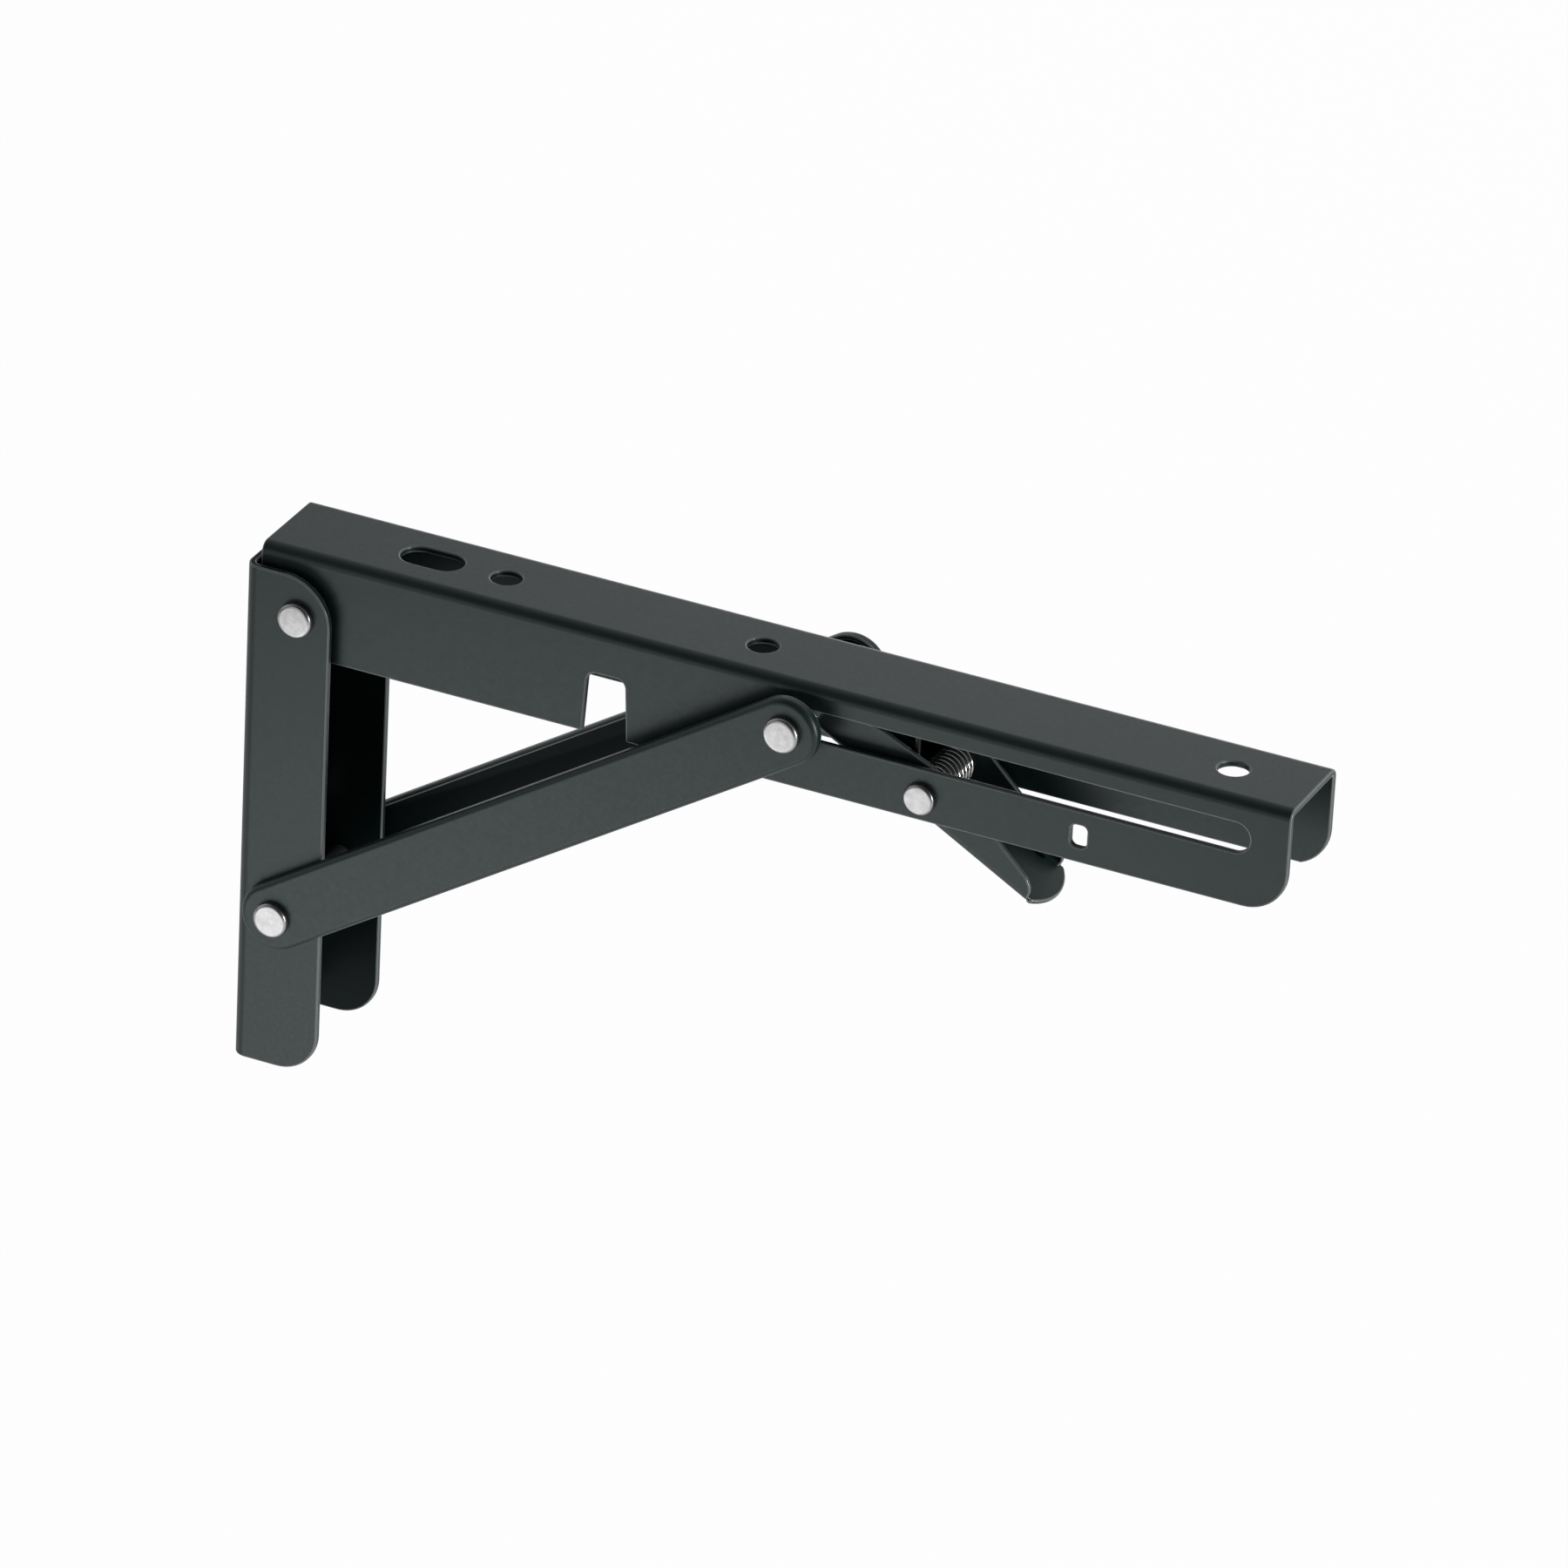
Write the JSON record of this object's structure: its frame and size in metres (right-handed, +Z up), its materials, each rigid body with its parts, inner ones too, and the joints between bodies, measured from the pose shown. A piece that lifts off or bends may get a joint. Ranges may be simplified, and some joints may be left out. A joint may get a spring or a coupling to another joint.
{
  "type": "folding shelf bracket",
  "caption": "Folding shelf bracket: a wall plate, a hinged shelf arm, side brace straps that slide in the arm, and a sprung release lever.",
  "frame": {"origin": "centre of the wall plate's back face, on the wall", "axes": "+X out from the wall along the shelf arm, +Y across the bracket, +Z up; shown open with the shelf face level"},
  "size_m": [0.3, 0.0494, 0.1543],
  "materials": {
    "powder_coat": "satin powder coat",
    "rivet_zinc": "bright zinc plate",
    "washer_zinc": "zinc plate",
    "spring_steel": "oiled wire"
  },
  "bodies": {
    "wall": {"wall_plate": "powder_coat", "hinge_rivet": "rivet_zinc", "hinge_washer_left": "washer_zinc", "hinge_washer_right": "washer_zinc", "brace_pivot_pin": "rivet_zinc", "brace_pivot_sleeve": "washer_zinc"},
    "arm": {"shelf_arm": "powder_coat", "lever_rivet": "rivet_zinc", "lever_washer_left": "washer_zinc", "lever_washer_right": "washer_zinc", "spring_sleeve": "washer_zinc", "torsion_spring": "spring_steel"},
    "lever": {"release_lever": "powder_coat"},
    "slider": {"slide_rivet_left": "rivet_zinc", "slide_rivet_right": "rivet_zinc", "slide_bush_left": "washer_zinc", "slide_bush_right": "washer_zinc"},
    "brace": {"brace_strap_left": "powder_coat", "brace_strap_right": "powder_coat", "brace_washer_left": "washer_zinc", "brace_washer_right": "washer_zinc", "brace_rivet_left": "rivet_zinc", "brace_rivet_right": "rivet_zinc"}
  },
  "joints": [
    {"name": "arm_fold", "type": "hinge", "parent": "wall", "child": "arm", "pos_m": [0.016, 0, 0.0622], "axis": [0, 1, 0], "range_deg": [0, 90]},
    {"name": "pin_slide", "type": "slide", "parent": "arm", "child": "slider", "axis": [1, 0, 0], "range_m": [0, 0.1205]},
    {"name": "brace_swing", "type": "hinge", "parent": "slider", "child": "brace", "pos_m": [0.1599, 0, 0.0685], "axis": [0, 1, 0], "range_deg": [0, 30.22]},
    {"name": "lever_tilt", "type": "hinge", "parent": "arm", "child": "lever", "pos_m": [0.1965, 0, 0.0559], "axis": [0, -1, 0], "range_deg": [0, 26.5], "stiffness_Nm_per_rad": 0.3, "springref_deg": -17.19, "deforming": ["torsion_spring"]}
  ],
  "couplings": [
    {"joint": "pin_slide", "follows": "arm_fold", "m_per_rad": 0.076709},
    {"joint": "brace_swing", "follows": "arm_fold", "ratio": 0.33576}
  ]
}
